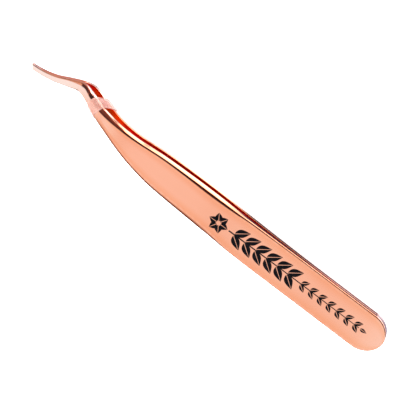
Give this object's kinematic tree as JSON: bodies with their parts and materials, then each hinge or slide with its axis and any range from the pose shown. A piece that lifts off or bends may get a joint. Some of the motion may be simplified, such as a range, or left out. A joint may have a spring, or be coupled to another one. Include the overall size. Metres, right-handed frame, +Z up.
{
  "type": "slant tweezers",
  "caption": "Polished rose-gold spring tweezers with a bent neck and slant-cut tips, welded flat heel, held closed by a clear keeper ring at the neck.",
  "frame": {"origin": "centre of the bounding box's underside, on the surface that the tweezers lie on", "axes": "+X along the handle from the tips to the heel, +Y across the flat of the arms, towards the side that the neck bends to, +Z up, the direction in which the upper arm opens"},
  "size_m": [0.1204, 0.0142, 0.008],
  "materials": {
    "rose_gold_steel": "mirror-polished stainless steel with a rose-gold coating",
    "weld_metal": "ground flush and coated with the arms",
    "clear_rubber": "clear soft silicone, satin"
  },
  "bodies": {
    "lower_arm": {"lower_arm": "rose_gold_steel", "upper_arm_heel": "rose_gold_steel", "heel_weld": "weld_metal", "keeper_ring": "clear_rubber"},
    "upper_arm": {"upper_arm_blade": "rose_gold_steel"}
  },
  "joints": [
    {"name": "arm_flex", "type": "hinge", "parent": "lower_arm", "child": "upper_arm", "pos_m": [0.03425, -0.00141, 0.00262], "axis": [0, 1, 0], "range_deg": [0, 6], "stiffness_Nm_per_rad": 0.2, "deforming": ["keeper_ring"]}
  ]
}
